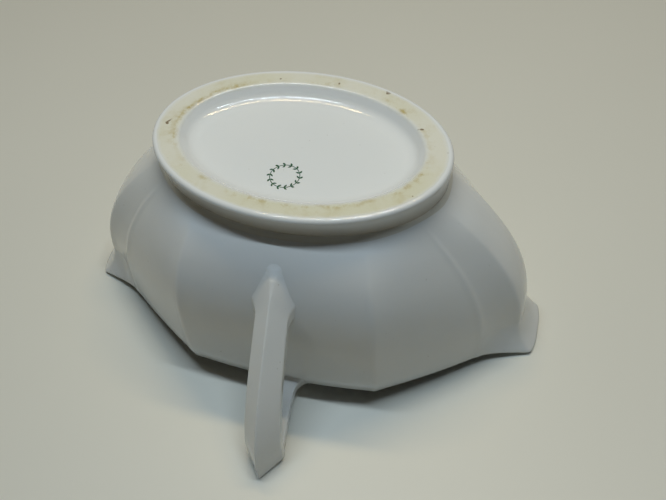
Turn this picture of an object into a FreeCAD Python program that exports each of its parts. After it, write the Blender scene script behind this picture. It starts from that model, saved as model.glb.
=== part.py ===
import FreeCAD, Part
import os
import Sketcher

# Double-lipped cream jug standing mouth down, as it is stored and as its foot is read.
# Millimetres. +Z up, +X along the long axis from one lip to the other, the handle on -Y.
# The lips and the handle's tip stand on Z = 0 and the foot's standing face is on top.
# Everything is drawn about the bowl's own vertical axis, then moved by axis_shift in Y, so
# that the origin lies under the middle of the whole object.

SIZES = (
    ("total_height", 70.6, "table to the foot's standing face"),
    ("foot_height", 9.4, "standing face to the neck, where the foot meets the bowl"),
    ("foot_half_length", 42.5, "standing face, long half axis"),
    ("foot_half_width", 28.6, "standing face, short half axis"),
    ("foot_band_end", 7.3, "width of the flat standing band at the foot's two ends"),
    ("foot_band_side", 5.6, "width of the flat standing band at the foot's two sides"),
    ("foot_inset", 0.9, "how far the foot draws in from the standing face to the neck"),
    ("foot_round", 1.1, "rounded outer edge of the standing face"),
    ("recess_depth", 3.4, "standing face to the recessed floor"),
    ("recess_slope", 3.4, "run of the glazed slope from the band to the floor"),
    ("floor_thickness", 3.0, "porcelain between the recessed floor and the inside well"),
    ("neck_reach", 41.6, "neck outline: end"),
    ("neck_shoulder_x", 36.2, "neck outline: shoulder ridge"),
    ("neck_shoulder_y", 13.3, "neck outline: shoulder ridge"),
    ("neck_corner_x", 23.5, "neck outline: side ridge"),
    ("neck_corner_y", 22.4, "neck outline: side ridge"),
    ("neck_side", 27.2, "neck outline: middle of the side"),
    ("belly_height", 12.8, "height of the fullest outline above the table"),
    ("belly_reach", 68.4, "belly outline: end"),
    ("belly_shoulder_x", 57.2, "belly outline: shoulder ridge"),
    ("belly_shoulder_y", 16.1, "belly outline: shoulder ridge"),
    ("belly_corner_x", 29.2, "belly outline: side ridge"),
    ("belly_corner_y", 37.4, "belly outline: side ridge"),
    ("belly_side", 39.5, "belly outline: middle of the side"),
    ("end_half_width", 7.0, "half width of the rounded end between its two pinched sides"),
    ("end_bow", 0.9, "how far the rounded end stands out in its middle"),
    ("lip_flare", 6.6, "how far each lip flares out past the belly"),
    ("lip_flat", 2.5, "length of the level edge that each lip stands on"),
    ("lip_spread", 2.6, "how much wider each lip's half width is at the rim"),
    ("rim_tuck", 4.0, "inward curl of the sides below the belly, at table height"),
    ("rim_lift_shoulder", 3.4, "rim above the table at the shoulder ridge"),
    ("rim_lift_corner", 5.0, "rim above the table at the side ridge"),
    ("rim_lift_side", 5.1, "rim above the table in the middle of the side"),
    ("wall", 2.6, "wall of the bowl, measured level"),
    ("strap_root_y", 29.0, "ridge of the strap at its buried root: out from the axis"),
    ("strap_root_z", 57.5, "ridge of the strap at its buried root: height"),
    ("strap_pull_y", 48.8, "first pull point of the strap's curve: out"),
    ("strap_pull_z", 41.8, "first pull point of the strap's curve: height"),
    ("strap_drop_y", 68.4, "second pull point of the strap's curve: out"),
    ("strap_drop_z", 23.7, "second pull point of the strap's curve: height"),
    ("handle_reach", 69.3, "tip of the handle out from the bowl's axis"),
    ("handle_turn", 1.5, "degrees that the handle was luted off the middle of the side"),
    ("tip_wall", 6.5, "upright wall round the pointed tip"),
    ("arm_thickness", 3.7, "thickness of the return arm"),
    ("roof_root", 3.3, "height of the strap's roof at the root"),
    ("roof_tip", 7.3, "height of the strap's roof at the tip"),
    ("strap_edge", 2.6, "thickness of the strap under its roof"),
    ("strap_half_root", 4.4, "half width of the strap at the root"),
    ("strap_half_tip", 5.5, "half width of the strap at the tip"),
    ("arm_half_rim", 4.3, "half width of the return arm at the rim"),
    ("arm_inner_y", 34.0, "buried end of the return arm, out from the axis"),
    ("slip_layer", 0.35, "thickness of the slip in each luted joint"),
    ("stamp_stem", 4.0, "inner radius of the printed wreath's stem"),
    ("stamp_line", 0.3, "width of the printed stem"),
    ("stamp_x", -1.5, "centre of the print along the foot"),
    ("stamp_y", -10.9, "centre of the print across the foot"),
    ("stamp_leaf", 1.1, "length of one printed leaf"),
    ("well_margin", 1.0, "how far the inside well stays within the wall under the foot"),
    ("cavity_round_low", 1.2, "extra draw-in of the cavity just under its rounded bottom"),
    ("cavity_round_high", 3.0, "extra draw-in of the cavity at its rounded bottom"),
    ("stamp_depth", 0.06, "thickness of the print under the glaze"),
)

# Outlines of the bowl from the neck (1) to the belly (0), and below it towards the rim.
RISE_LEVELS = (1.0, 0.88, 0.75, 0.61, 0.46, 0.31, 0.16, 0.0)
FLARE_LEVELS = (0.35, 0.65, 0.9, 1.15)
CAVITY_LEVELS = (0.93, 0.88, 0.75, 0.61, 0.46, 0.31, 0.16, 0.0)
END_CURVE = 2
SIDE_CURVE = 4
STRAP_SECTIONS = 9
STAMP_LEAVES = 14
OVERSHOOT = 6.0
TRIM_DEPTH = 120.0

# Corners of one printed leaf: lean across the stem and run along it, in leaf lengths.
LEAF_CORNERS = ((0.0, 0.0), (0.72, 0.16), (0.9, 0.95), (0.18, 0.55))

# Box that separates the slip at the strap's root from the slip at the rim.
SPLIT_BOX_SIDE = 60.0
SPLIT_BOX_REACH = 100.0


def make_sheet(doc):
    sheet = doc.addObject("Spreadsheet::Sheet", "Sizes")
    for row, (alias, value, words) in enumerate(SIZES, start=1):
        sheet.set("A%d" % row, alias)
        sheet.set("B%d" % row, str(value))
        sheet.set("C%d" % row, words)
        sheet.setAlias("B%d" % row, alias)
    doc.recompute()
    return sheet


def cell(alias):
    return "Sizes." + alias


def minus(expression):
    return "-1 * (" + expression + ")"


NECK_HEIGHT = "(Sizes.total_height - Sizes.foot_height)"
UP = FreeCAD.Vector(0, 0, 1)
AXIS_SHIFT = "(Sizes.handle_reach - Sizes.belly_side) / 2"


def level_height(level, below_belly):
    """Height of an outline: level counts from the belly up to the neck or down to the table."""
    if below_belly:
        return "Sizes.belly_height * (1 - %g)" % level
    return "Sizes.belly_height + (%s - Sizes.belly_height) * %g" % (NECK_HEIGHT, level)


def between(neck, belly, share):
    return "%s + (%s - %s) * %.4f" % (cell(neck), cell(belly), cell(neck), share)


def outline_corners(level, below_belly, inset):
    """Quarter outline as (x, y) expressions: end, end corner, shoulder, side ridge, side."""
    end_share = 1.0 if below_belly else 1 - level ** END_CURVE
    side_share = 1.0 if below_belly else 1 - level ** SIDE_CURVE
    drop = level if below_belly else 0.0
    reach = between("neck_reach", "belly_reach", end_share)
    reach += " + Sizes.lip_flare * %.4f - %s" % (drop ** 2, inset)
    half_end = "Sizes.end_half_width + Sizes.lip_spread * %.4f - %s" % (drop, inset)
    tuck = "Sizes.rim_tuck * %.4f + %s" % (drop ** 2, inset)
    shoulder_x = between("neck_shoulder_x", "belly_shoulder_x", end_share) + " - " + inset
    shoulder_y = between("neck_shoulder_y", "belly_shoulder_y", end_share) + " - " + inset
    corner_x = between("neck_corner_x", "belly_corner_x", side_share) + " - (%s) / 2" % tuck
    corner_y = between("neck_corner_y", "belly_corner_y", side_share) + " - (%s)" % tuck
    side_y = between("neck_side", "belly_side", side_share) + " - (%s)" % tuck
    return (
        (reach, "0"),
        (reach + " - Sizes.end_bow", half_end),
        (shoulder_x, shoulder_y),
        (corner_x, corner_y),
        ("0", side_y),
    )


def whole_outline(quarter):
    """Mirror the quarter outline into all four, counter-clockwise from the +X end."""
    first = list(quarter)
    second = [(minus(x), y) for x, y in reversed(quarter[:-1])]
    third = [(minus(x), minus(y)) for x, y in quarter[1:]]
    fourth = [(x, minus(y)) for x, y in reversed(quarter[1:-1])]
    return first + second + third + fourth


def bind_coordinate(sketch, kind, line, expression):
    """Fix one coordinate of a line's first point to an expression."""
    point = sketch.Geometry[line].StartPoint
    value = point.x if kind == "DistanceX" else point.y
    index = sketch.addConstraint(Sketcher.Constraint(kind, -1, 1, line, 1, value))
    sketch.setExpression("Constraints[%d]" % index, expression)


def draw_polygon(sketch, corners):
    """Add a closed polygon whose corners are (x, y) expressions in the sketch's own plane."""
    points = [FreeCAD.Vector(*[sketch.evalExpression(part) for part in corner]) for corner in corners]
    first = sketch.GeometryCount
    count = len(points)
    for index in range(count):
        sketch.addGeometry(Part.LineSegment(points[index], points[(index + 1) % count]), False)
    for index in range(count):
        after = first + (index + 1) % count
        sketch.addConstraint(Sketcher.Constraint("Coincident", first + index, 2, after, 1))
    for index, (x, y) in enumerate(corners):
        bind_coordinate(sketch, "DistanceX", first + index, x)
        bind_coordinate(sketch, "DistanceY", first + index, y)


def polygon_sketch(doc, name, corners, placement=None):
    sketch = doc.addObject("Sketcher::SketchObject", name)
    if placement is not None:
        sketch.Placement = placement
    draw_polygon(sketch, corners)
    return sketch


def outline_sketch(doc, name, level, below_belly, inset):
    corners = whole_outline(outline_corners(level, below_belly, inset))
    sketch = polygon_sketch(doc, name, corners)
    sketch.setExpression("Placement.Base.z", level_height(level, below_belly))
    return sketch


def loft(doc, name, sections):
    solid = doc.addObject("Part::Loft", name)
    solid.Sections = sections
    solid.Solid = True
    return solid


def ellipse(doc, name, half_length, half_width, height):
    curve = doc.addObject("Part::Ellipse", name)
    curve.setExpression("MajorRadius", half_length)
    curve.setExpression("MinorRadius", half_width)
    curve.setExpression("Placement.Base.z", height)
    return curve


def extrude(doc, name, base, direction, length, symmetric=False):
    solid = doc.addObject("Part::Extrusion", name)
    solid.Base = base
    solid.DirMode = "Custom"
    solid.Dir = direction
    solid.setExpression("LengthFwd", length)
    solid.Solid = True
    solid.Symmetric = symmetric
    return solid


def boolean(doc, kind, name, base, tool):
    result = doc.addObject("Part::" + kind, name)
    result.Base = base
    result.Tool = tool
    return result


def finish(item, node):
    """Name a finished piece and move it from the bowl's axis to the object's own origin."""
    item.Label = node
    item.setExpression("Placement.Base.y", AXIS_SHIFT)
    return item


def bowl_outside(doc, name):
    sections = []
    for index, level in enumerate(RISE_LEVELS):
        sections.append(outline_sketch(doc, "%sRise%d" % (name, index), level, False, "0"))
    for index, level in enumerate(FLARE_LEVELS):
        sections.append(outline_sketch(doc, "%sFlare%d" % (name, index), level, True, "0"))
    return loft(doc, name, sections)


def bowl_cavity(doc):
    """Inside of the bowl: the outside drawn in by the wall, with a rounded bottom."""
    sections = []
    rounding = [" + Sizes.cavity_round_high", " + Sizes.cavity_round_low"]
    rounding += [""] * (len(CAVITY_LEVELS) - len(rounding))
    for index, level in enumerate(CAVITY_LEVELS):
        inset = "(Sizes.wall%s)" % rounding[index]
        sections.append(outline_sketch(doc, "CavityRise%d" % index, level, False, inset))
    for index, level in enumerate(FLARE_LEVELS):
        sections.append(outline_sketch(doc, "CavityFlare%d" % index, level, True, "Sizes.wall"))
    return loft(doc, "Cavity", sections)


def rim_trim(doc):
    """Block under the rim: its top follows the rim from lip to lip."""
    tip = "(Sizes.belly_reach + Sizes.lip_flare)"
    below = minus(cell("belly_height"))
    right = [
        (tip + " + %g" % OVERSHOOT, below),
        (tip + " + %g" % OVERSHOOT, "0"),
        (tip + " - Sizes.lip_flat", "0"),
        (cell("belly_shoulder_x"), cell("rim_lift_shoulder")),
        (cell("belly_corner_x"), cell("rim_lift_corner")),
    ]
    left = [(minus(x), z) for x, z in reversed(right)]
    corners = right + [("0", cell("rim_lift_side"))] + left
    upright = FreeCAD.Placement(FreeCAD.Vector(), FreeCAD.Rotation(FreeCAD.Vector(1, 0, 0), 90))
    sketch = polygon_sketch(doc, "RimProfile", corners, upright)
    across = FreeCAD.Vector(0, 1, 0)
    return extrude(doc, "RimTrim", sketch, across, str(TRIM_DEPTH), symmetric=True)


def band_half_axes():
    """Inner edge of the foot's flat standing band."""
    return (
        "Sizes.foot_half_length - Sizes.foot_band_end",
        "Sizes.foot_half_width - Sizes.foot_band_side",
    )


def floor_half_axes():
    """Edge of the recessed floor, at the bottom of the glazed slope."""
    half_length, half_width = band_half_axes()
    return half_length + " - Sizes.recess_slope", half_width + " - Sizes.recess_slope"


def make_bowl(doc, outside):
    """Bowl with its two lips and the boss that closes the foot."""
    half_length, half_width = floor_half_axes()
    boss_edge = ellipse(doc, "BossEdge", half_length, half_width, NECK_HEIGHT)
    boss_rise = "Sizes.foot_height - Sizes.recess_depth"
    boss = extrude(doc, "Boss", boss_edge, UP, boss_rise)
    well_edge = ellipse(
        doc, "WellEdge", half_length + " - Sizes.wall - Sizes.well_margin",
        half_width + " - Sizes.wall - Sizes.well_margin", NECK_HEIGHT + " - %g" % OVERSHOOT)
    well_rise = boss_rise + " - Sizes.floor_thickness + %g" % OVERSHOOT
    well = extrude(doc, "Well", well_edge, UP, well_rise)
    mass = boolean(doc, "Fuse", "BowlMass", outside, boss)
    hollow = boolean(doc, "Fuse", "BowlHollow", bowl_cavity(doc), well)
    shell = boolean(doc, "Cut", "BowlShell", mass, hollow)
    return finish(boolean(doc, "Cut", "Bowl", shell, rim_trim(doc)), "bowl")


def make_foot_ring(doc):
    """Oval ring that flares slightly to a flat standing band with a sloped inner side."""
    top = cell("total_height")
    start = NECK_HEIGHT + " + Sizes.slip_layer"
    stations = (
        ("Neck", "Sizes.foot_inset", start),
        ("Edge", "0", top + " - Sizes.foot_round"),
        ("Round", "Sizes.foot_round * 0.3", top + " - Sizes.foot_round * 0.3"),
        ("Face", "Sizes.foot_round", top),
    )
    outer = []
    for name, inset, height in stations:
        long_axis = "Sizes.foot_half_length - " + inset
        short_axis = "Sizes.foot_half_width - " + inset
        outer.append(ellipse(doc, "Ring" + name, long_axis, short_axis, height))
    blank = loft(doc, "RingBlank", outer)
    blank.Ruled = True
    half_length, half_width = floor_half_axes()
    hole_edge = ellipse(doc, "RingHoleEdge", half_length, half_width, NECK_HEIGHT)
    hole = extrude(doc, "RingHole", hole_edge, UP, "Sizes.foot_height - Sizes.recess_depth")
    slope_low = ellipse(doc, "SlopeLow", half_length, half_width, top + " - Sizes.recess_depth")
    slope_high = ellipse(doc, "SlopeHigh", *band_half_axes(), top)
    slope = loft(doc, "RingSlope", [slope_low, slope_high])
    opened = boolean(doc, "Cut", "RingOpened", blank, hole)
    return finish(boolean(doc, "Cut", "FootRing", opened, slope), "foot_ring")


def make_foot_joint(doc):
    """Thin oval band of slip between the neck of the bowl and the foot ring."""
    half_length, half_width = floor_half_axes()
    long_axis = "Sizes.foot_half_length - Sizes.foot_inset - 2 * Sizes.slip_layer"
    short_axis = "Sizes.foot_half_width - Sizes.foot_inset - 2 * Sizes.slip_layer"
    rim = ellipse(doc, "FootJointRim", long_axis, short_axis, NECK_HEIGHT)
    bore = ellipse(doc, "FootJointBore", half_length, half_width, NECK_HEIGHT)
    disc = extrude(doc, "FootJointDisc", rim, UP, cell("slip_layer"))
    core = extrude(doc, "FootJointCore", bore, UP, cell("slip_layer"))
    return finish(boolean(doc, "Cut", "FootJoint", disc, core), "foot_slip_joint")


ARM_SLOPE = "Sizes.rim_lift_side / (Sizes.handle_reach - Sizes.arm_inner_y)"


def roof_outline(ridge, inward, roof, edge, half):
    """Roof-shaped outline: ridge, two eaves and two inner corners."""
    across = FreeCAD.Vector(1, 0, 0)
    eave = ridge + inward * roof
    inner = eave + inward * edge
    corners = [ridge, eave + across * half, inner + across * half]
    corners += [inner - across * half, eave - across * half]
    return Part.makePolygon(corners + [ridge])


def make_strap(doc, sheet):
    """Curved strap of the handle, roof-shaped outside and flat inside."""
    def size(alias):
        return float(sheet.get(alias))

    def grown(root, tip, share):
        return size(root) + (size(tip) - size(root)) * share

    curve = Part.BezierCurve()
    curve.setPoles([
        FreeCAD.Vector(0, -size("strap_root_y"), size("strap_root_z")),
        FreeCAD.Vector(0, -size("strap_pull_y"), size("strap_pull_z")),
        FreeCAD.Vector(0, -size("strap_drop_y"), size("strap_drop_z")),
        FreeCAD.Vector(0, -size("handle_reach"), size("tip_wall")),
    ])
    last = STRAP_SECTIONS - 1
    wires = []
    for step in range(STRAP_SECTIONS):
        share = step / last
        parameter = curve.LastParameter * share
        along = curve.tangent(parameter)[0]
        inward = FreeCAD.Vector(0, -along.z, along.y)
        if step == last:
            inward = FreeCAD.Vector(0, 1, sheet.evalExpression(ARM_SLOPE))
            inward.normalize()
        roof = grown("roof_root", "roof_tip", share)
        half = grown("strap_half_root", "strap_half_tip", share)
        ridge = curve.value(parameter)
        wires.append(roof_outline(ridge, inward, roof, size("strap_edge"), half))
    strap = doc.addObject("Part::Feature", "Strap")
    strap.Shape = Part.makeLoft(wires, True, False)
    return strap


def tilted_block(doc, name, right, thickness):
    """Pointed block in the arm's plane, which rises from the tip on the table to the rim."""
    reach = "(Sizes.handle_reach)"
    left = [(minus(x), y) for x, y in reversed(right)]
    sketch = polygon_sketch(doc, name + "Outline", [("0", minus(reach))] + right + left)
    slope = "atan(%s)" % ARM_SLOPE
    sketch.setExpression("Placement.Rotation.Angle", slope)
    sketch.setExpression("Placement.Rotation.Axis.x", "1")
    sketch.setExpression("Placement.Rotation.Axis.z", "0")
    sketch.setExpression("Placement.Base.y", "Sizes.handle_reach * (cos(%s) - 1)" % slope)
    sketch.setExpression("Placement.Base.z", "Sizes.handle_reach * sin(%s)" % slope)
    return extrude(doc, name, sketch, UP, thickness)


def make_arm(doc):
    """Return arm: a flat pointed tongue from the tip back to the rim."""
    right = [
        (cell("strap_half_tip"), minus("(Sizes.handle_reach - Sizes.roof_tip)")),
        (cell("arm_half_rim"), minus(cell("arm_inner_y"))),
    ]
    return tilted_block(doc, "Arm", right, cell("arm_thickness"))


def make_tip(doc):
    """Pointed foot of the strap: upright walls from the table up to the strap's last section."""
    inner = "(Sizes.handle_reach - Sizes.roof_tip - Sizes.strap_edge)"
    right = [
        (cell("strap_half_tip"), minus("(Sizes.handle_reach - Sizes.roof_tip)")),
        (cell("strap_half_tip"), minus(inner)),
    ]
    return tilted_block(doc, "Tip", right, cell("tip_wall"))


def shifted(doc, name, solid, offset):
    copy = doc.addObject("Part::Compound", name)
    copy.Links = [solid]
    copy.setExpression("Placement.Base.y", offset)
    return copy


def make_handle(doc, sheet, outside):
    """Handle and the two thin pads of slip that lute it to the bowl."""
    lower = boolean(doc, "Fuse", "HandleLower", make_arm(doc), make_tip(doc))
    raw = boolean(doc, "Fuse", "HandleRaw", make_strap(doc, sheet), lower)
    raw.setExpression("Placement.Rotation.Angle", "Sizes.handle_turn * 1 deg")
    grown = shifted(doc, "BowlGrown", outside, minus(cell("slip_layer")))
    reach = boolean(doc, "Fuse", "BowlAndSlip", outside, grown)
    handle = boolean(doc, "Cut", "Handle", raw, reach)
    seat = boolean(doc, "Common", "HandleSeat", raw, reach)
    slip = boolean(doc, "Cut", "HandleSlip", seat, outside)
    half = doc.addObject("Part::Box", "UpperHalf")
    half.Length = SPLIT_BOX_SIDE
    half.Width = SPLIT_BOX_REACH
    half.Height = SPLIT_BOX_SIDE
    half.Placement.Base = FreeCAD.Vector(-SPLIT_BOX_SIDE / 2, -SPLIT_BOX_REACH, 0)
    half.setExpression("Placement.Base.z", "Sizes.total_height / 3")
    root = boolean(doc, "Common", "RootJoint", slip, half)
    rim = boolean(doc, "Cut", "RimJoint", slip, half)
    finish(handle, "handle")
    finish(root, "handle_root_slip_joint")
    finish(rim, "handle_rim_slip_joint")
    return [handle, root, rim]


def flat_sketch(body, name):
    """Sketch on the body's own XY plane."""
    sketch = body.newObject("Sketcher::SketchObject", name)
    planes = {item.Role: item for item in body.Origin.OriginFeatures}
    sketch.AttachmentSupport = [(planes["XY_Plane"], "")]
    sketch.MapMode = "FlatFace"
    return sketch


def printed_pad(body, name, sketch):
    pad = body.newObject("PartDesign::Pad", name)
    pad.Profile = sketch
    pad.setExpression("Length", cell("stamp_depth"))
    return pad


def leaf_corners(base, side):
    """Slanted pointed leaf that starts on the stem and leans outwards (1) or inwards (-1)."""
    length = cell("stamp_leaf")
    return [
        (base + " + %s * %g" % (length, lean * side), length + " * %g" % run)
        for lean, run in LEAF_CORNERS
    ]


def make_backstamp(doc):
    """Printed wreath: a round stem with pairs of small leaves, no lettering."""
    body = doc.addObject("PartDesign::Body", "Backstamp")
    stem_sketch = flat_sketch(body, "StemPrint")
    outer = "Sizes.stamp_stem + Sizes.stamp_line"
    for index, expression in enumerate((outer, cell("stamp_stem"))):
        radius = stem_sketch.evalExpression(expression)
        stem_sketch.addGeometry(Part.Circle(FreeCAD.Vector(), UP, radius), False)
        stem_sketch.addConstraint(Sketcher.Constraint("Coincident", index, 3, -1, 1))
        bound = stem_sketch.addConstraint(Sketcher.Constraint("Radius", index, radius))
        stem_sketch.setExpression("Constraints[%d]" % bound, expression)
    printed_pad(body, "Stem", stem_sketch)
    leaf_sketch = flat_sketch(body, "LeafPrint")
    draw_polygon(leaf_sketch, leaf_corners("Sizes.stamp_stem + Sizes.stamp_line * 0.75", 1))
    draw_polygon(leaf_sketch, leaf_corners("Sizes.stamp_stem + Sizes.stamp_line * 0.25", -1))
    leaves = printed_pad(body, "Leaves", leaf_sketch)
    wreath = body.newObject("PartDesign::PolarPattern", "Wreath")
    wreath.Originals = [leaves]
    wreath.Axis = (stem_sketch, ["N_Axis"])
    wreath.Angle = 360
    wreath.Occurrences = STAMP_LEAVES
    body.Tip = wreath
    body.Label = "backstamp"
    body.setExpression("Placement.Base.x", cell("stamp_x"))
    body.setExpression("Placement.Base.y", "Sizes.stamp_y + " + AXIS_SHIFT)
    body.setExpression("Placement.Base.z", "Sizes.total_height - Sizes.recess_depth")
    return body


def check(doc, nodes):
    for item in doc.Objects:
        if "Invalid" in item.State or "Error" in item.State:
            raise RuntimeError("failed: %s %s" % (item.Label, item.State))
    for item in nodes:
        if item.Shape.isNull() or not item.Shape.isValid():
            raise RuntimeError("bad shape: " + item.Label)


def main():
    doc = FreeCAD.newDocument("CreamJug")
    sheet = make_sheet(doc)
    outside = bowl_outside(doc, "Outside")
    nodes = [make_bowl(doc, outside), make_foot_ring(doc), make_foot_joint(doc)]
    nodes += make_handle(doc, sheet, outside)
    nodes.append(make_backstamp(doc))
    doc.recompute()
    check(doc, nodes)
    os.makedirs("parts", exist_ok=True)
    for item in nodes:
        item.Shape.exportStep("parts/%s.step" % item.Label)
        print(item.Label, len(item.Shape.Solids), round(item.Shape.Volume, 1))


main()
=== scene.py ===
import math

import bpy
import bmesh
import numpy as np
from mathutils import Matrix, Vector
from mathutils.bvhtree import BVHTree


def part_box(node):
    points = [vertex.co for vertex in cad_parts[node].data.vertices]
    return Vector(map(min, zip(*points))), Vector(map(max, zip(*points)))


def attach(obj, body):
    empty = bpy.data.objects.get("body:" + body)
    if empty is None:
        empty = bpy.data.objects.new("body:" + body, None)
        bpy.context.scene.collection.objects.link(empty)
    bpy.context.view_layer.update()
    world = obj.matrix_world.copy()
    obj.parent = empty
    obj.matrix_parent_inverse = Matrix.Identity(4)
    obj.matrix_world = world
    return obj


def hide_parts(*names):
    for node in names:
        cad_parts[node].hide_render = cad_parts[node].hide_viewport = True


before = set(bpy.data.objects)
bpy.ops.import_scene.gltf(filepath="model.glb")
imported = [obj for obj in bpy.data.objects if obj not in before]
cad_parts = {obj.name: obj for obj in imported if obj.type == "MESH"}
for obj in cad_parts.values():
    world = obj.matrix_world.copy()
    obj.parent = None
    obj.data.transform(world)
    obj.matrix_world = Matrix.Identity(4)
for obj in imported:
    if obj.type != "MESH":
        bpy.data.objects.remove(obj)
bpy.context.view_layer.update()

MM = 0.001

# ---------------------------------------------------------------- places read from the frame
RING_LOW, RING_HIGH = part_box("foot_ring")
STAMP_LOW, STAMP_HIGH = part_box("backstamp")
HANDLE_LOW, HANDLE_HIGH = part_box("handle")
AXIS_Y = (RING_LOW.y + RING_HIGH.y) / 2
TOP = RING_HIGH.z / MM
FOOT_LONG = (RING_HIGH.x - RING_LOW.x) / 2 / MM
FOOT_SHORT = (RING_HIGH.y - RING_LOW.y) / 2 / MM
FLOOR_HEIGHT = STAMP_LOW.z / MM
TIP_REACH = (AXIS_Y - HANDLE_LOW.y) / MM

# ---------------------------------------------------------------- sizes of the jug, millimetres
NECK_HEIGHT = TOP - 9.4
BELLY_HEIGHT = 12.8
WALL = 2.6
NECK = {"reach": 41.6, "shoulder": (36.2, 13.3), "corner": (23.5, 22.4), "side": 27.2}
BELLY = {"reach": 68.4, "shoulder": (57.2, 16.1), "corner": (29.2, 37.4), "side": 39.5}
END_HALF_WIDTH = 7.0
END_BOW = 0.9
LIP_FLARE = 6.6
LIP_SPREAD = 2.6
RIM_TUCK = 4.0
RIM_LIFTS = (0.0, 0.0, 3.4, 5.0, 5.1)
RIM_SOFTNESS = 3.0
SIDE_CURVE = 4
END_CURVE = 2

# How far each edge of the outline bows at its middle: the end, the pinched side, out at the neck
# and in at the belly, and the two panels, at the belly and what the neck adds.
END_CROWN = 0.35
SIDE_OUT_AT_NECK = 0.4
SIDE_IN_AT_BELLY = 0.9
OUTER_PANEL_BOW = (0.8, 0.2)
MIDDLE_PANEL_BOW = (0.5, 0.6)

# Width of the foot's flat standing band, at its ends and at its sides.
BAND_END = 7.3
BAND_SIDE = 5.6

# How far the foot's wall draws in above the bowl, at its ends and at its sides.
WAIST_END = 0.9
WAIST_SIDE = 2.3

# Glazed slope from the band to the floor: how far in it runs and its steepness on the way.
SLOPE_RUN = 6.6
SLOPE_PLACES = (0.0, 0.8, 2.0, 3.4, 5.0, 6.6)
SLOPE_ANGLES = (4.0, 46.0, 44.0, 20.0, 6.0, 0.0)

# Edges of the foot: roundness of the band, fall of the band towards the recess, and how far the
# ring's last rows run on under the floor.
BAND_ROUND = 1.2
BAND_FALL = 0.05
FOOT_TUCKS = ((0.4, 0.03), (0.8, 0.3))
WALL_BEND = 1.3
FOOT_BURIED = 0.5
FOOT_COLUMNS = 400
WALL_ROWS = 12
EDGE_ROWS = 8
SLOPE_ROWS = 32

# Bare and stained shares at the top of the slope, and how fast each fades down it.
SLOPE_BARE = (0.55, 2.5)
SLOPE_STAIN = (0.8, 3)

# Shares of the band's width, from outside in, with how bare and how stained each place is.
BAND_ROWS = (
    (0.04, 0.35, 0.0), (0.12, 0.7, 0.2), (0.25, 1.0, 0.1), (0.5, 1.0, 0.1),
    (0.7, 1.0, 0.45), (0.85, 0.95, 1.0), (0.95, 0.75, 1.0), (1.0, 0.6, 0.8),
)

# Painted shade and dirt on the foot's wall, darkest in the corner above the bowl: how high it
# reaches, and the half length that only the wall has.
SHADE_AND_SOILING_REACH = 7.0
SHADE_AND_SOILING_FROM = 40.0

# Inside of the bowl: where the cavity ends, the oval well under the foot and the floor above it.
CAVITY_TOP = NECK_HEIGHT - 3.2
WELL_LONG = 28.3
WELL_SHORT = 14.4
WELL_TOP = FLOOR_HEIGHT - 3.0
WELL_BEND = 0.6
WELL_STEPS = 8
WELL_RINGS = (0.8, 0.5, 0.25, 0.05)

# Boss that carries the recessed floor: its inset from the band, and the rings that fill it.
BOSS_INSET = 5.2
BOSS_RINGS = (0.05, 0.3, 0.6, 0.9, 0.97, 1.0)
BOSS_FOOT = 0.3

# Fillet of slip between neck and foot: how far it runs down the bowl and up the wall, how far it
# stands off the wall and sinks into the bowl, and where its buried back lies.
FILLET_DOWN = 1.3
FILLET_UP = 1.2
FILLET_STEPS = 9
FILLET_PROUD = 0.05
FILLET_EDGE_SINK = 0.12
FILLET_BURIED = 1.6
FILLET_BACK = (-1.0, 0.8)

# Samples on each quarter of an outline: end, pinched side, outer panel, middle panel.
EDGE_SAMPLES = (14, 26, 40, 34)
SHOULDER_SPREAD = 16.0
BEAD_SPREAD = 1.6
BEAD_HEIGHT = 0.22
CORNER_SOFTNESS = 1.1
SHOULDER_SOFTNESS = 7.0
TABLE_ROWS = 240
OUTER_ROWS = 110
RIM_ROWS = 10
INNER_ROWS = 60


def smoothstep(value, low, high):
    share = np.clip((value - low) / (high - low), 0.0, 1.0)
    return share * share * (3 - 2 * share)


# ---------------------------------------------------------------- the bowl's outline
def quarter_outline(height):
    """Quarter outline at one height, from the middle of the end to the middle of the side."""
    rise = max(0.0, (height - BELLY_HEIGHT) / (NECK_HEIGHT - BELLY_HEIGHT))
    drop = max(0.0, (BELLY_HEIGHT - height) / BELLY_HEIGHT)
    end_share = 1 - rise ** END_CURVE
    side_share = 1 - rise ** SIDE_CURVE

    def mix(name, share):
        neck = np.array(NECK[name], float)
        belly = np.array(BELLY[name], float)
        return neck + (belly - neck) * share

    tuck = RIM_TUCK * drop ** 2
    reach = float(mix("reach", end_share)) + LIP_FLARE * drop ** 2
    half_end = END_HALF_WIDTH + LIP_SPREAD * drop
    shoulder = mix("shoulder", end_share)
    corner = mix("corner", side_share) - (tuck / 2, tuck)
    side = float(mix("side", side_share)) - tuck
    corners = [
        np.array((reach, 0.0)),
        np.array((reach - END_BOW, half_end)),
        shoulder,
        corner,
        np.array((0.0, side)),
    ]
    pinch = SIDE_OUT_AT_NECK * rise - SIDE_IN_AT_BELLY * (1 - rise) * (1 - drop)
    panels = [bow + more * rise for bow, more in (OUTER_PANEL_BOW, MIDDLE_PANEL_BOW)]
    bows = (END_CROWN, pinch, *panels)
    points = []
    for start, end, bow, count in zip(corners, corners[1:], bows, EDGE_SAMPLES):
        along = end - start
        outward = np.array((along[1], -along[0])) / np.linalg.norm(along)
        for step in range(count):
            share = step / count
            points.append(start + along * share + outward * 4 * bow * share * (1 - share))
    points.append(corners[-1])
    return np.array(points)


def mirrored(quarter):
    """Whole closed outline from a quarter, counter-clockwise."""
    second = quarter[-2::-1] * (-1, 1)
    third = quarter[1:] * (-1, -1)
    fourth = quarter[-2:0:-1] * (1, -1)
    return np.concatenate([quarter, second, third, fourth])


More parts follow.
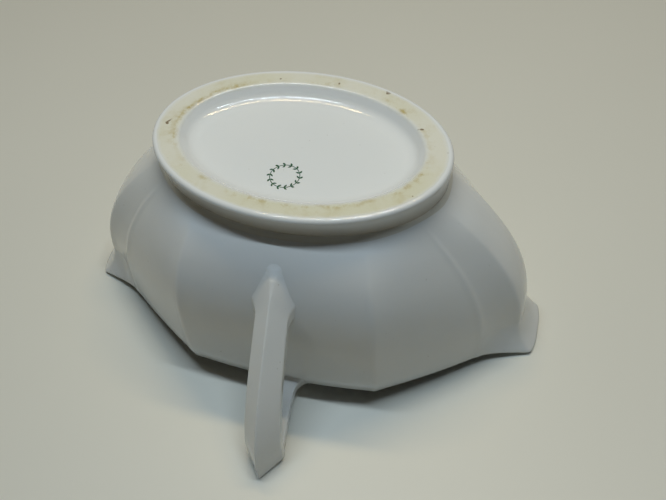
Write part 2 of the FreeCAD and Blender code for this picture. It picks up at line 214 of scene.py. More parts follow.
def softened(curve, spread):
    """Round the corners of a closed curve with a bell-shaped average along it."""
    radius = int(math.ceil(3 * spread))
    offsets = np.arange(-radius, radius + 1)
    weights = np.exp(-0.5 * (offsets / spread) ** 2)
    weights /= weights.sum()
    total = np.zeros_like(curve)
    for offset, weight in zip(offsets, weights):
        total += weight * np.roll(curve, offset, axis=0)
    return total


def outward_normals(curve):
    along = np.roll(curve, -1, axis=0) - np.roll(curve, 1, axis=0)
    normals = np.stack([along[:, 1], -along[:, 0]], 1)
    return normals / np.linalg.norm(normals, axis=1)[:, None]


def four_places(at):
    """The sample at one place of a quarter, and its three mirror images on the whole outline."""
    quarter = sum(EDGE_SAMPLES)
    return at, 2 * quarter - at, 2 * quarter + at, 4 * quarter - at


def shoulder_window():
    """1 near the four shoulder ridges and 0 elsewhere, along a whole outline."""
    index = np.arange(4 * sum(EDGE_SAMPLES))
    window = np.zeros(len(index))
    for place in four_places(EDGE_SAMPLES[0] + EDGE_SAMPLES[1]):
        window = np.maximum(window, np.exp(-((index - place) / SHOULDER_SPREAD) ** 2))
    return window[:, None]


SHOULDERS = shoulder_window()


def ridge_bead():
    """Fine raised line along the eight ridges of the outline."""
    shoulder = EDGE_SAMPLES[0] + EDGE_SAMPLES[1]
    index = np.arange(4 * sum(EDGE_SAMPLES))
    bead = np.zeros(len(index))
    for at in (shoulder, shoulder + EDGE_SAMPLES[2]):
        for place in four_places(at):
            bead += np.exp(-((index - place) / BEAD_SPREAD) ** 2)
    return bead[:, None]


BEAD = ridge_bead()


def outline(height):
    """Whole outline at one height; the shoulder ridges fade out towards the neck."""
    raw = mirrored(quarter_outline(height))
    rise = (height - BELLY_HEIGHT) / (NECK_HEIGHT - BELLY_HEIGHT)
    fade = float(smoothstep(rise, 0.5, 1.0)) * SHOULDERS
    curve = softened(raw, CORNER_SOFTNESS) * (1 - fade) + softened(raw, SHOULDER_SOFTNESS) * fade
    beading = BEAD_HEIGHT * (1 - float(smoothstep(rise, 0.75, 1.0)))
    return curve + outward_normals(curve) * BEAD * beading


def outline_table(low, high, count):
    heights = np.linspace(low, high, count)
    return heights, np.array([outline(height) for height in heights])


HEIGHTS, OUTLINES = outline_table(-1.0, NECK_HEIGHT, TABLE_ROWS)
COUNT = OUTLINES.shape[1]


def outline_at(heights):
    """Points of the outline, column by column, each column at its own height."""
    place = (np.asarray(heights) - HEIGHTS[0]) / (HEIGHTS[1] - HEIGHTS[0])
    below = np.clip(np.floor(place).astype(int), 0, len(HEIGHTS) - 2)
    share = (place - below)[:, None]
    columns = np.arange(COUNT)
    return OUTLINES[below, columns] * (1 - share) + OUTLINES[below + 1, columns] * share


def rim_heights():
    """Height of the rim above the table for each column of the outline."""
    quarter = []
    for start, end, count in zip(RIM_LIFTS, RIM_LIFTS[1:], EDGE_SAMPLES):
        quarter.extend(start + (end - start) * step / count for step in range(count))
    quarter.append(RIM_LIFTS[-1])
    values = np.array(quarter)
    whole = np.concatenate([values, values[-2::-1], values[1:], values[-2:0:-1]])
    return softened(whole[:, None], RIM_SOFTNESS)[:, 0]


# ---------------------------------------------------------------- mesh helpers
def ellipse(long_axis, short_axis, angles):
    return np.stack([long_axis * np.cos(angles), short_axis * np.sin(angles)], 1)


def neck_angles(points):
    """Angle of each point on the neck's oval."""
    return np.arctan2(points[:, 1] / NECK["side"], points[:, 0] / NECK["reach"])


def with_height(points, height):
    column = np.broadcast_to(np.asarray(height, float), (len(points),))
    return np.concatenate([points, column[:, None]], 1)


def grid_faces(rows, count, closed_rows=False):
    faces = []
    last = rows if closed_rows else rows - 1
    for row in range(last):
        here = row * count
        there = ((row + 1) % rows) * count
        for column in range(count):
            after = (column + 1) % count
            faces.append((here + column, here + after, there + after, there + column))
    return faces


def make_piece(name, points, faces, material, replaced):
    """Mesh object from millimetre points drawn about the bowl's axis."""
    mesh = bpy.data.meshes.new(name)
    vertices = np.asarray(points, float) * MM
    vertices[:, 1] += AXIS_Y
    mesh.from_pydata(vertices.tolist(), [], faces)
    mesh.validate()
    piece = bpy.data.objects.new(name, mesh)
    bpy.context.scene.collection.objects.link(piece)
    tidy = bmesh.new()
    tidy.from_mesh(mesh)
    bmesh.ops.recalc_face_normals(tidy, faces=tidy.faces)
    tidy.to_mesh(mesh)
    tidy.free()
    mesh.polygons.foreach_set("use_smooth", [True] * len(mesh.polygons))
    mesh.materials.append(material)
    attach(piece, "root")
    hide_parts(*replaced)
    return piece


# ---------------------------------------------------------------- materials
GLAZE = (0.80, 0.81, 0.80)
GLAZE_SHADE = (0.77, 0.785, 0.78)
SLIP = (0.72, 0.71, 0.66)
SLIP_SHADE = (0.68, 0.67, 0.61)


def rising(low, high):
    """Stops of a ramp from black to white."""
    return [(low, (0.0,) * 3), (high, (1.0,) * 3)]


class Tree:
    """Small helper to write a material's nodes in short lines."""

    def __init__(self, name):
        self.material = bpy.data.materials.new(name)
        self.material.use_nodes = True
        self.tree = self.material.node_tree
        self.shader = self.tree.nodes["Principled BSDF"]

    def node(self, kind, **values):
        made = self.tree.nodes.new(kind)
        for key, value in values.items():
            setattr(made, key, value)
        return made

    def link(self, output, socket):
        self.tree.links.new(output, socket)

    def position(self):
        return self.node("ShaderNodeNewGeometry").outputs["Position"]

    def noise(self, scale, detail, roughness=0.5):
        made = self.node("ShaderNodeTexNoise")
        made.inputs["Scale"].default_value = scale
        made.inputs["Detail"].default_value = detail
        made.inputs["Roughness"].default_value = roughness
        self.link(self.position(), made.inputs["Vector"])
        return made.outputs["Fac"]

    def ramp(self, value, stops):
        made = self.node("ShaderNodeValToRGB")
        elements = made.color_ramp.elements
        while len(elements) < len(stops):
            elements.new(0.5)
        for element, (place, colour) in zip(elements, stops):
            element.position = place
            element.color = (*colour, 1.0)
        self.link(value, made.inputs["Fac"])
        return made.outputs["Color"]

    def math(self, operation, first, second):
        made = self.node("ShaderNodeMath", operation=operation)
        for socket, value in zip(made.inputs, (first, second)):
            if isinstance(value, (int, float)):
                socket.default_value = value
            else:
                self.link(value, socket)
        return made.outputs[0]

    def mix(self, share, first, second):
        made = self.node("ShaderNodeMix", data_type="RGBA")
        sockets = (made.inputs[0], made.inputs[6], made.inputs[7])
        for socket, value in zip(sockets, (share, first, second)):
            if isinstance(value, (int, float)):
                socket.default_value = value
            elif isinstance(value, tuple):
                socket.default_value = (*value, 1.0)
            else:
                self.link(value, socket)
        return made.outputs[2]

    def bump(self, height, strength, distance, after=None):
        made = self.node("ShaderNodeBump")
        made.inputs["Strength"].default_value = strength
        made.inputs["Distance"].default_value = distance
        self.link(height, made.inputs["Height"])
        if after is not None:
            self.link(after, made.inputs["Normal"])
        return made.outputs["Normal"]


def glaze_values(tree, roughness):
    shader = tree.shader
    shader.inputs["IOR"].default_value = 1.5
    shader.inputs["Specular IOR Level"].default_value = 0.5
    shader.inputs["Subsurface Weight"].default_value = 0.08
    shader.inputs["Subsurface Radius"].default_value = (1.0, 0.9, 0.75)
    shader.inputs["Subsurface Scale"].default_value = 0.0015
    stops = [(0.3, (roughness * 0.8,) * 3), (0.7, (roughness * 1.3,) * 3)]
    tone = tree.ramp(tree.noise(220.0, 4.0), stops)
    tree.link(tone, shader.inputs["Roughness"])


def porcelain(name, colour, shade):
    tree = Tree(name)
    cloud = tree.ramp(tree.noise(28.0, 4.0), [(0.3, shade), (0.7, colour)])
    specks = tree.ramp(tree.noise(900.0, 2.0), rising(0.76, 0.79))
    colour = tree.mix(tree.math("MULTIPLY", specks, 0.35), cloud, (0.25, 0.2, 0.14))
    tree.link(colour, tree.shader.inputs["Base Color"])
    glaze_values(tree, 0.07)
    swell = tree.bump(tree.noise(45.0, 2.0), 0.25, 0.0004)
    tree.link(tree.bump(tree.noise(600.0, 2.0), 0.05, 0.0001, swell), tree.shader.inputs["Normal"])
    return tree.material


def foot_porcelain():
    """Glazed wall with painted shade and dirt towards the bowl, and a bare cream band on the
    standing face with brown stains and specks.
    """
    tree = Tree("foot_porcelain")
    band, crumb, shade_and_soiling = (tree.node("ShaderNodeAttribute", attribute_name=name).outputs["Fac"]
                          for name in ("bare", "crumb", "shade_and_soiling"))
    ragged = tree.math("SUBTRACT", tree.noise(320.0, 5.0, 0.65), 0.5)
    bare = tree.math("ADD", band, tree.math("MULTIPLY", ragged, 0.7))
    bare = tree.ramp(bare, rising(0.15, 0.95))
    washes = [(0.38, (0.73, 0.715, 0.62)), (0.62, (0.68, 0.66, 0.50))]
    wash = tree.ramp(tree.noise(34.0, 3.0), washes)
    mottle = tree.ramp(tree.noise(260.0, 6.0, 0.7), rising(0.47, 0.66))
    patch = tree.ramp(tree.noise(70.0, 3.0, 0.5), [(0.36, (0.15,) * 3), (0.54, (1.0,) * 3)])
    near_edge = tree.math("ADD", tree.math("MULTIPLY", crumb, 0.85), 0.15)
    stained = tree.math("MULTIPLY", tree.math("MULTIPLY", mottle, patch), near_edge)
    cream = tree.mix(stained, wash, (0.46, 0.36, 0.12))
    glazed = tree.ramp(tree.noise(28.0, 4.0), [(0.3, GLAZE_SHADE), (0.7, GLAZE)])
    # Painted shade and dirt on the foot's wall: dark browns mixed into the glaze, strongest in the
    # corner above the bowl.
    browns = [(0.3, (0.30, 0.24, 0.14)), (0.7, (0.16, 0.12, 0.06))]
    shade_and_soiling_browns = tree.ramp(tree.noise(90.0, 4.0, 0.6), browns)
    glazed = tree.mix(tree.math("MULTIPLY", shade_and_soiling, 0.85), glazed, shade_and_soiling_browns)
    colour = tree.mix(bare, glazed, cream)
    specks = tree.ramp(tree.noise(330.0, 2.0, 0.4), rising(0.725, 0.745))
    specks = tree.math("MULTIPLY", specks, bare)
    colour = tree.mix(tree.math("MULTIPLY", specks, 0.85), colour, (0.16, 0.10, 0.04))
    tree.link(colour, tree.shader.inputs["Base Color"])
    rough = tree.ramp(bare, [(0.0, (0.07,) * 3), (1.0, (0.45,) * 3)])
    tree.link(rough, tree.shader.inputs["Roughness"])
    grain = tree.math("MULTIPLY", tree.noise(1500.0, 3.0), bare)
    swell = tree.bump(tree.noise(60.0, 2.0), 0.2, 0.0003)
    tree.link(tree.bump(grain, 0.3, 0.00015, swell), tree.shader.inputs["Normal"])
    return tree.material


def green_print():
    tree = Tree("green_print")
    inks = [(0.35, (0.03, 0.09, 0.05)), (0.7, (0.08, 0.17, 0.10))]
    ink = tree.ramp(tree.noise(1800.0, 4.0, 0.7), inks)
    tree.link(ink, tree.shader.inputs["Base Color"])
    glaze_values(tree, 0.1)
    return tree.material


def table_surface():
    tree = Tree("table_surface")
    tones = [(0.3, (0.74, 0.73, 0.66)), (0.7, (0.765, 0.755, 0.685))]
    tone = tree.ramp(tree.noise(6.0, 3.0), tones)
    tree.link(tone, tree.shader.inputs["Base Color"])
    tree.shader.inputs["Roughness"].default_value = 0.45
    tree.link(tree.bump(tree.noise(900.0, 3.0), 0.05, 0.0002), tree.shader.inputs["Normal"])
    return tree.material


# ---------------------------------------------------------------- pieces
def bowl_rows():
    """Rows of points: outside from neck to rim, rounded rim, inside up to the well."""
    rim = rim_heights()
    half = WALL / 2
    rows = []
    for step in range(OUTER_ROWS):
        share = step / (OUTER_ROWS - 1)
        heights = NECK_HEIGHT + (rim + half - NECK_HEIGHT) * share
        rows.append(with_height(outline_at(heights), heights))
    edge = outline_at(rim + half)
    normals = outward_normals(edge)
    for step in range(1, RIM_ROWS):
        turn = math.pi * step / RIM_ROWS
        inset = half * (1 - math.cos(turn))
        rows.append(with_height(edge - normals * inset, rim + half - half * math.sin(turn)))
    for step in range(INNER_ROWS):
        share = step / (INNER_ROWS - 1)
        heights = rim + half + (CAVITY_TOP - rim - half) * share
        curve = outline_at(heights)
        inner = curve - outward_normals(curve) * WALL
        rows.append(with_height(inner, heights))
    return rows


def make_bowl(material):
    rows = bowl_rows()
    lowest = rows[-1][:, :2]
    well = ellipse(WELL_LONG, WELL_SHORT, neck_angles(lowest))
    for step in range(1, WELL_STEPS + 1):
        share = step / WELL_STEPS
        blend = lowest * (1 - share) + well * share
        rows.append(with_height(blend, CAVITY_TOP + (WELL_TOP - CAVITY_TOP) * share ** WELL_BEND))
    for share in WELL_RINGS:
        rows.append(with_height(well * share, WELL_TOP))
    half_axes = (FOOT_LONG - BAND_END - BOSS_INSET, FOOT_SHORT - BAND_SIDE - BOSS_INSET)
    boss = ellipse(*half_axes, neck_angles(rows[0]))
    top_rows = [with_height(boss * share, FLOOR_HEIGHT) for share in BOSS_RINGS]
    top_rows.append(with_height(boss, NECK_HEIGHT + BOSS_FOOT))
    rows = top_rows + rows
    points = np.concatenate(rows)
    faces = grid_faces(len(rows), COUNT)
    faces.append(tuple(range(COUNT)))
    faces.append(tuple(range((len(rows) - 1) * COUNT, len(rows) * COUNT)))
    make_piece("bowl_shell", points, faces, material, ["bowl"])
    outside = np.concatenate(rows[len(top_rows):len(top_rows) + OUTER_ROWS])
    return outside, grid_faces(OUTER_ROWS, COUNT)


def foot_profile():
    """Section of the ring as rows of half length, half width, height, bare share, stain share."""
    waist = (FOOT_LONG - WAIST_END, FOOT_SHORT - WAIST_SIDE)
    edge = (FOOT_LONG, FOOT_SHORT)
    inner = (FOOT_LONG - BAND_END, FOOT_SHORT - BAND_SIDE)
    floor = (inner[0] - SLOPE_RUN, inner[1] - SLOPE_RUN)
    buried = NECK_HEIGHT - FOOT_BURIED

    def between(out, into, share):
        return [first + (second - first) * share for first, second in zip(out, into)]

    def inset(axes, amount):
        return [axis - amount for axis in axes]

    def fading(share, start, fall):
        return max(0.0, start - fall * share)

    section = [(*waist, buried, 0.0, 0.0)]
    for share in np.linspace(0.0, 1.0, WALL_ROWS):
        height = NECK_HEIGHT + (TOP - BAND_ROUND - NECK_HEIGHT) * share
        section.append((*between(waist, edge, share ** WALL_BEND), height, 0.0, 0.0))
    for turn in np.linspace(0.15, 1.0, EDGE_ROWS) * math.pi / 2:
        height = TOP - BAND_ROUND + BAND_ROUND * math.sin(turn)
        section.append((*inset(edge, BAND_ROUND * (1 - math.cos(turn))), height, 0.0, 0.0))
    for share, bare, crumb in BAND_ROWS:
        axes = between(inset(edge, BAND_ROUND), inner, share)
        section.append((*axes, TOP - BAND_FALL * share ** 3, bare, crumb))
    high = TOP - BAND_FALL
    for share in np.linspace(0.03, 1.0, SLOPE_ROWS):
        height = high - (high - FLOOR_HEIGHT) * slope_fall(share)
        shades = (fading(share, *SLOPE_BARE), fading(share, *SLOPE_STAIN))
        section.append((*between(inner, floor, share), height, *shades))
    for amount, drop in FOOT_TUCKS:
        section.append((*inset(floor, amount), FLOOR_HEIGHT - drop, 0.0, 0.0))
    section.append((*inset(floor, FOOT_TUCKS[-1][0]), buried, 0.0, 0.0))
    return section


def shade_and_soiling_share(half_length, height):
    """Painted shade and dirt on the outer wall, darkest in the corner above the bowl."""
    if half_length <= SHADE_AND_SOILING_FROM:
        return 0.0
    return max(0.0, 1 - max(0.0, (height - NECK_HEIGHT) / SHADE_AND_SOILING_REACH))


def slope_fall(share):
    """Share of the drop reached along the slope from the band to the floor."""
    places = np.linspace(0.0, SLOPE_RUN, 200)
    steepness = np.tan(np.radians(np.interp(places, SLOPE_PLACES, SLOPE_ANGLES)))
    fallen = np.concatenate([[0.0], np.cumsum((steepness[1:] + steepness[:-1]) / 2)])
    return float(np.interp(share * SLOPE_RUN, places, fallen / fallen[-1]))


def make_foot(material):
    section = foot_profile()
    angles = np.linspace(0, 2 * math.pi, FOOT_COLUMNS, endpoint=False)
    rows = [with_height(ellipse(long_axis, short_axis, angles), height)
            for long_axis, short_axis, height, *_ in section]
    faces = grid_faces(len(rows), len(angles), closed_rows=True)
    piece = make_piece("foot_ring_shell", np.concatenate(rows), faces, material,
                       ["foot_ring"])
    # The wall's share is painted shade and dirt, darkest in the corner above the bowl.
    shares = {
        "bare": [row[3] for row in section],
        "crumb": [row[4] for row in section],
        "shade_and_soiling": [shade_and_soiling_share(row[0], row[2]) for row in section],
    }
    for name, values in shares.items():
        column = piece.data.attributes.new(name, "FLOAT", "POINT")
        column.data.foreach_set("value", np.repeat(values, len(angles)).astype(np.float32))


def make_foot_joint(material):
    """Concave fillet of glaze in the corner between the neck and the foot ring."""
    neck = outline(NECK_HEIGHT)
    low = outline(NECK_HEIGHT - FILLET_DOWN)
    half_axes = (FOOT_LONG - WAIST_END + FILLET_PROUD, FOOT_SHORT - WAIST_SIDE + FILLET_PROUD)
    wall = ellipse(*half_axes, neck_angles(neck))
    farther = np.hypot(*wall.T) > np.hypot(*neck.T)
    corner = np.where(farther[:, None], wall, neck)
    low = low - outward_normals(low) * FILLET_EDGE_SINK
    upper = with_height(wall, NECK_HEIGHT + FILLET_UP)
    middle = with_height(corner, NECK_HEIGHT + FILLET_PROUD)
    lower = with_height(low, NECK_HEIGHT - FILLET_DOWN)
    rows = []
    for share in np.linspace(0.0, 1.0, FILLET_STEPS):
        rows.append(upper * (1 - share) ** 2 + middle * 2 * share * (1 - share) + lower * share ** 2)
    inside = neck - outward_normals(neck) * FILLET_BURIED
    for lift in FILLET_BACK:
        rows.append(with_height(inside, NECK_HEIGHT + lift))
    faces = grid_faces(len(rows), COUNT, closed_rows=True)
    make_piece("foot_slip_fillet", np.concatenate(rows), faces, material,
               ["foot_slip_joint"])


# Handle in its own middle plane: degrees off the middle of the side, the strap's ridge as a curve
# with two pull points, its roof and half width from root to tip, and the wall round the tip.
HANDLE_TURN = 1.5
TIP_WALL = 6.5
STRAP_PULLS = ((-29.1, 58.9), (-48.0, 40.6), (-68.4, 23.7), (-TIP_REACH, TIP_WALL))
STRAP_STEPS = 48
STRAP_EDGE = 2.6
ROOF_ROOT = 3.3
ROOF_TIP = 7.3
HALF_ROOT = 4.4
HALF_GROWTH = 1.1
ROOT_TAPER = 0.14
ROOT_NARROWEST = 0.25

# Return arm: where it ends in the wall, its rise, its thickness, and half widths on the way.
ARM_INNER = -34.0
ARM_SLOPE = 5.1 / (TIP_REACH + ARM_INNER)
ARM_THICKNESS = 3.7
ARM_OFF_TABLE = 0.02
ARM_SIDE = (
    (5.45, -(TIP_REACH - ROOF_TIP)), (5.0, -57.0), (4.5, -51.0), (4.1, -46.0),
    (4.1, -43.0), (4.5, -40.6), (5.4, -38.6), (6.0, ARM_INNER),
)

# Skin over strap and arm, and its fillet where it meets the bowl.
SKIN_VOXEL = 0.26
SKIN_EASING = 8
ROOT_FILLET = 2.8
ROOT_FILLET_MORE = 1.4
ROOT_FILLET_HEIGHTS = (40.0, 50.0)
FILLET_SPREAD = 0.8
FILLET_SINK = 0.3
BURIED_DEPTH = 0.6
BOWL_SEARCH = 12.0
BOWL_MIDDLE = 8.0


def strap_points(share):
    """Outer ridge of the strap and its direction, in the handle's middle plane."""
    pulls = [np.array(pull, float) for pull in STRAP_PULLS]
    rest = 1 - share
    place = (rest ** 3 * pulls[0] + 3 * rest ** 2 * share * pulls[1]
             + 3 * rest * share ** 2 * pulls[2] + share ** 3 * pulls[3])
    along = (rest ** 2 * (pulls[1] - pulls[0]) + 2 * rest * share * (pulls[2] - pulls[1])
             + share ** 2 * (pulls[3] - pulls[2]))
    return place, along / np.linalg.norm(along)


def strap_mesh():
    """Strap from its root to the tip, roof-shaped outside, then straight down to the table."""
    rows = []
    for step in range(STRAP_STEPS + 1):
        share = step / STRAP_STEPS
        ridge, along = strap_points(share)
        inward = np.array((-along[1], along[0]))
        if step == STRAP_STEPS:
            inward = np.array((1.0, ARM_SLOPE))
        roof = ROOF_ROOT + (ROOF_TIP - ROOF_ROOT) * share
        taper = float(smoothstep(share, 0.0, ROOT_TAPER))
        half = (HALF_ROOT + HALF_GROWTH * share) * (ROOT_NARROWEST + (1 - ROOT_NARROWEST) * taper)
        eave = ridge + inward * roof
        inner = eave + inward * STRAP_EDGE
        rows.append([(0, *ridge), (half, *eave), (half, *inner), (-half, *inner), (-half, *eave)])
    rows.append([(x, y, z - TIP_WALL + ARM_OFF_TABLE) for x, y, z in rows[-1]])
    points = np.array(rows, float).reshape(-1, 3)
    faces = grid_faces(len(rows), 5)
    faces.append((0, 1, 2, 3, 4))
    last = (len(rows) - 1) * 5
    faces.append(tuple(range(last, last + 5)))
    return points, faces


def arm_mesh():
    """Return arm: pointed tongue with upright walls, rising slightly towards the rim."""
    plan = [(0.0, -TIP_REACH + 0.05), *ARM_SIDE] + [(-x, y) for x, y in reversed(ARM_SIDE)]
    points = []
    for lift in (ARM_OFF_TABLE, ARM_THICKNESS):
        points += [(x, y, lift + (y + TIP_REACH) * ARM_SLOPE) for x, y in plan]
    count = len(plan)
    faces = [tuple(range(count)), tuple(range(count, 2 * count))]
    faces += [(i, (i + 1) % count, count + (i + 1) % count, count + i) for i in range(count)]
    return np.array(points), faces


def turned(points):
    """Turn points about the bowl's axis by the small angle that the handle is luted off centre."""
    angle = math.radians(HANDLE_TURN)
    cosine, sine = math.cos(angle), math.sin(angle)
    x, y, z = np.asarray(points, float).T
    return np.stack([x * cosine - y * sine, x * sine + y * cosine, z], 1)


def apply_modifiers(piece):
    graph = bpy.context.evaluated_depsgraph_get()
    mesh = bpy.data.meshes.new_from_object(piece.evaluated_get(graph))
    piece.modifiers.clear()
    piece.data = mesh


def joined_handle():
    """Union of strap and arm, remeshed finely and eased so that its edges are glaze-soft."""
    both = bmesh.new()
    for points, faces in (strap_mesh(), arm_mesh()):
        mesh = bpy.data.meshes.new("handle_raw")
        mesh.from_pydata((turned(points) * MM).tolist(), [], faces)
        whole = bmesh.new()
        whole.from_mesh(mesh)
        bmesh.ops.recalc_face_normals(whole, faces=whole.faces)
        bmesh.ops.triangulate(whole, faces=whole.faces)
        whole.to_mesh(mesh)
        whole.free()
        both.from_mesh(mesh)
    joined = bpy.data.meshes.new("handle_joined")
    both.to_mesh(joined)
    both.free()
    work = bpy.data.objects.new("handle_work", joined)
    bpy.context.scene.collection.objects.link(work)
    remesh = work.modifiers.new("skin", "REMESH")
    remesh.mode = "VOXEL"
    remesh.voxel_size = SKIN_VOXEL * MM
    smooth = work.modifiers.new("ease", "SMOOTH")
    smooth.factor = 0.5
    smooth.iterations = SKIN_EASING
    apply_modifiers(work)
    mesh = work.data
    points = np.array([v.co for v in mesh.vertices]) / MM
    normals = np.array([v.normal for v in mesh.vertices])
    faces = [tuple(p.vertices) for p in mesh.polygons]
    bpy.data.objects.remove(work)
    return points, normals, faces


def make_handle(material, outside, outside_faces):
    """Handle whose roots flare into the bowl with small fillets."""
    points, normals, faces = joined_handle()
    surface = BVHTree.FromPolygons(outside.tolist(), outside_faces)
    for index, (point, normal) in enumerate(zip(points, normals)):
        fillet = ROOT_FILLET + ROOT_FILLET_MORE * float(smoothstep(point[2], *ROOT_FILLET_HEIGHTS))
        place, facing, _, _ = surface.find_nearest(Vector(point), BOWL_SEARCH)
        if place is None:
            continue
        facing = np.array(facing)
        place = np.array(place)
        if facing @ np.array((place[0], place[1], BOWL_MIDDLE)) < 0:
            facing = -facing
        away = (point - place) @ facing
        if away < fillet:
            near = max(away, 0.0)
            flare = fillet - math.sqrt(fillet ** 2 - (fillet - near) ** 2)
            sideways = normal - (normal @ facing) * facing
            sink = FILLET_SINK * (1 - near / fillet) ** 2
            point = point + sideways * flare * FILLET_SPREAD - facing * sink
        if away < -BURIED_DEPTH:
            point = point + facing * (-BURIED_DEPTH - away)
        points[index] = point
    make_piece("handle_shell", points, faces, material, ["handle"])


# Printed wreath: radii of its stem, number of leaf pairs, and a leaf's length, half width, lean
# and distance from the middle.
STEM_RADII = (4.0, 4.22)
STEM_SAMPLES = 96
LEAF_PAIRS = 14
LEAF_LENGTH = 1.1
LEAF_HALF_WIDTH = 0.26
LEAF_LEAN = 0.75
LEAF_RADIUS = 4.11
LEAF_OFFSET = 0.1
PRINT_LIFT = 0.03


def leaf_edge():
    """Outline of one leaf as rows of share of its length and distance across."""
    edge = [(share, LEAF_HALF_WIDTH * math.sin(math.pi * share) ** 0.8)
            for share in np.linspace(0, 1, 13)]
    return edge + [(share, -width) for share, width in edge[-2:0:-1]]


def make_backstamp(material):
    """Wreath of small leaves on a round stem, printed flat on the recessed floor."""
    low, high = STAMP_LOW, STAMP_HIGH
    centre = ((low.x + high.x) / 2 / MM, ((low.y + high.y) / 2 - AXIS_Y) / MM)
    points = []
    faces = []

    def add_loop(loop):
        start = len(points)
        height = FLOOR_HEIGHT + PRINT_LIFT
        points.extend((centre[0] + x, centre[1] + y, height) for x, y in loop)
        return list(range(start, start + len(loop)))

    turns = np.linspace(0, 2 * math.pi, STEM_SAMPLES, endpoint=False)
    inner, outer = (add_loop([(radius * math.cos(turn), radius * math.sin(turn)) for turn in turns])
                    for radius in STEM_RADII)
    for index in range(len(turns)):
        after = (index + 1) % len(turns)
        faces.append((inner[index], inner[after], outer[after], outer[index]))
    for leaf in range(LEAF_PAIRS):
        base = 2 * math.pi * leaf / LEAF_PAIRS
        for side in (1, -1):
            lean = side * LEAF_LEAN
            shape = []
            for along, across in leaf_edge():
                outward = LEAF_LENGTH * along * math.sin(abs(lean)) * side
                out = LEAF_RADIUS + side * LEAF_OFFSET + outward + across * math.cos(lean)
                angle = base + (LEAF_LENGTH * along * math.cos(lean) - across * math.sin(lean)) / out
                shape.append((out * math.cos(angle), out * math.sin(angle)))
            faces.append(tuple(add_loop(shape)))
    make_piece("backstamp_print", np.array(points), faces, material, ["backstamp"])


# ---------------------------------------------------------------- stage, light and camera
TABLE_HALF = 1.5

# Room light by height of the direction, from straight down to straight up.
ROOM_STOPS = (
    (0.0, (0.010, 0.008, 0.006)), (0.5, (0.018, 0.016, 0.012)),
    (0.62, (0.022, 0.023, 0.024)), (1.0, (0.015, 0.015, 0.015)),
)

# Lights: name, place, point they face, size, watts and colour.
LIGHTS = (
    ("tube_near", (0.02, 0.0, 0.62), (0.02, 0.0, 0), (0.40, 0.012), 1.85, (0.735, 0.885, 1.0)),
    ("tube_far", (0.02, 0.19, 0.61), (0.02, 0.01, 0), (0.40, 0.012), 1.05, (1.0, 0.78, 0.44)),
    ("left_wall", (-0.6, 0.0, 0.17), (0, 0, 0.03), (0.85, 0.34), 0.14, (1.0, 0.82, 0.45)),
)

# Camera: degrees round from the handle, up and tilted, lens, distance and the point it faces.
CAMERA_ANGLES = (17.9, 51.8, -4.2)
CAMERA_LENS = 48.65
CAMERA_DISTANCE = 286.4
CAMERA_AIM_RIGHT = 6.8
CAMERA_AIM_HEIGHT = 20.8


def make_floor(material):
    mesh = bpy.data.meshes.new("table")
    half = TABLE_HALF
    corners = [(-half, -half, 0), (half, -half, 0), (half, half, 0), (-half, half, 0)]
    mesh.from_pydata(corners, [], [(0, 1, 2, 3)])
    floor = bpy.data.objects.new("table", mesh)
    bpy.context.scene.collection.objects.link(floor)
    mesh.materials.append(material)


def area_light(name, place, aim, size, power, colour):
    light = bpy.data.lights.new(name, "AREA")
    light.shape = "RECTANGLE"
    light.size, light.size_y = size
    light.energy = power
    light.color = colour
    lamp = bpy.data.objects.new(name, light)
    bpy.context.scene.collection.objects.link(lamp)
    lamp.location = place
    lamp.rotation_euler = (Vector(aim) - Vector(place)).to_track_quat("-Z", "Y").to_euler()


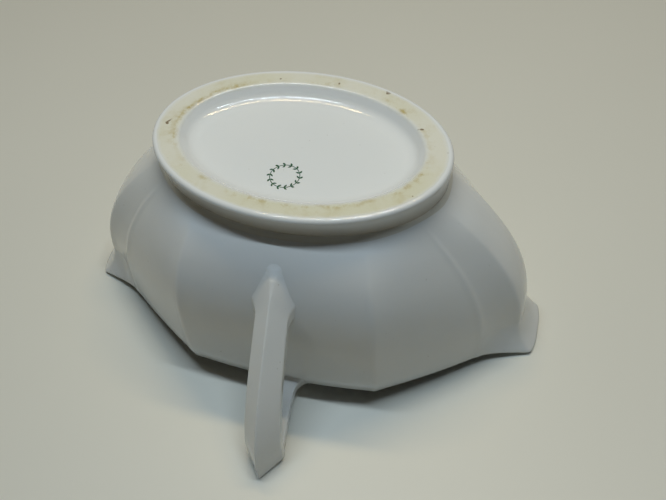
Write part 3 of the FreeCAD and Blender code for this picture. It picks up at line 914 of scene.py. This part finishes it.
def make_light():
    """Tube overhead, a warmer tube behind it and a faint warm panel at the left, in a dim room."""
    world = bpy.data.worlds.new("studio")
    bpy.context.scene.world = world
    world.use_nodes = True
    nodes = world.node_tree.nodes
    links = world.node_tree.links
    direction = nodes.new("ShaderNodeTexCoord").outputs["Generated"]
    split = nodes.new("ShaderNodeSeparateXYZ")
    links.new(direction, split.inputs[0])
    ramp = nodes.new("ShaderNodeValToRGB")
    elements = ramp.color_ramp.elements
    while len(elements) < len(ROOM_STOPS):
        elements.new(0.5)
    for element, (place, colour) in zip(elements, ROOM_STOPS):
        element.position = place
        element.color = (*colour, 1.0)
    half = nodes.new("ShaderNodeMath")
    half.operation = "MULTIPLY_ADD"
    half.inputs[1].default_value = 0.5
    half.inputs[2].default_value = 0.5
    links.new(split.outputs["Z"], half.inputs[0])
    links.new(half.outputs[0], ramp.inputs["Fac"])
    links.new(ramp.outputs["Color"], nodes["Background"].inputs["Color"])
    nodes["Background"].inputs["Strength"].default_value = 1.0
    for light in LIGHTS:
        area_light(*light)


def make_camera():
    """Camera above and to the right of the handle, tilted a little to its left."""
    azimuth, elevation, roll = (math.radians(angle) for angle in CAMERA_ANGLES)
    back = Vector((math.sin(azimuth) * math.cos(elevation),
                   -math.cos(azimuth) * math.cos(elevation), math.sin(elevation)))
    right = Vector((math.cos(azimuth), math.sin(azimuth), 0))
    up = back.cross(right)
    aim = right * CAMERA_AIM_RIGHT * MM + Vector((0, AXIS_Y, CAMERA_AIM_HEIGHT * MM))
    tilted_right = right * math.cos(roll) + up * math.sin(roll)
    tilted_up = up * math.cos(roll) - right * math.sin(roll)
    data = bpy.data.cameras.new("camera")
    data.sensor_width = 36.0
    data.lens = CAMERA_LENS
    data.clip_start = 0.01
    camera = bpy.data.objects.new("camera", data)
    bpy.context.scene.collection.objects.link(camera)
    turn = Matrix((tilted_right, tilted_up, back)).transposed()
    place = aim + back * CAMERA_DISTANCE * MM
    camera.matrix_world = Matrix.Translation(place) @ turn.to_4x4()
    bpy.context.scene.camera = camera


def main():
    glazed = porcelain("glazed_porcelain", GLAZE, GLAZE_SHADE)
    slip = porcelain("slip_joint", SLIP, SLIP_SHADE)
    outside, outside_faces = make_bowl(glazed)
    make_foot(foot_porcelain())
    make_foot_joint(slip)
    make_handle(glazed, outside, outside_faces)
    for node in ("handle_root_slip_joint", "handle_rim_slip_joint"):
        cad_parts[node].data.materials.clear()
        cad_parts[node].data.materials.append(slip)
    make_backstamp(green_print())
    make_floor(table_surface())
    make_light()
    make_camera()
    bpy.context.scene.view_settings.view_transform = "Standard"


main()
